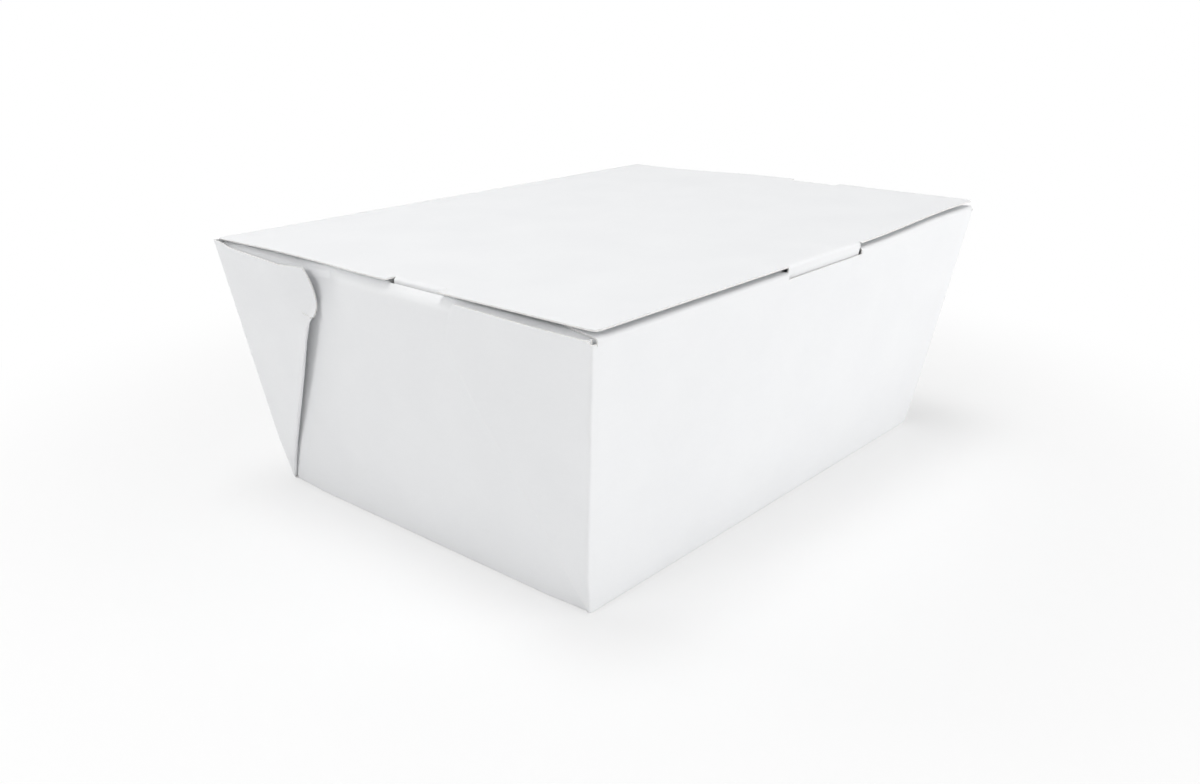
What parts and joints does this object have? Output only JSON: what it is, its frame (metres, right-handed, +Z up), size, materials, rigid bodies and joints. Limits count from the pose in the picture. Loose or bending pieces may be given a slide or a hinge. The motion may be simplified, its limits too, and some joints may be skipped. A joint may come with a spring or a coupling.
{
  "type": "takeout food box",
  "caption": "Closed folded paperboard takeout box with tapered walls, web-folded corners and a hinged lid held by tucked tabs.",
  "frame": {"origin": "on the table, under the middle of the box", "axes": "+X along the box, +Y across it from the front wall to the lid's crease, +Z up"},
  "size_m": [0.2252, 0.1657, 0.0893],
  "materials": {
    "paperboard": "smooth white coated board, satin"
  },
  "bodies": {
    "tray": {"tray": "paperboard"},
    "lid": {"lid": "paperboard"}
  },
  "joints": [
    {"name": "lid_hinge", "type": "hinge", "parent": "tray", "child": "lid", "pos_m": [0, 0.08263, 0.08785], "axis": [-1, 0, 0], "range_deg": [0, 180]}
  ]
}
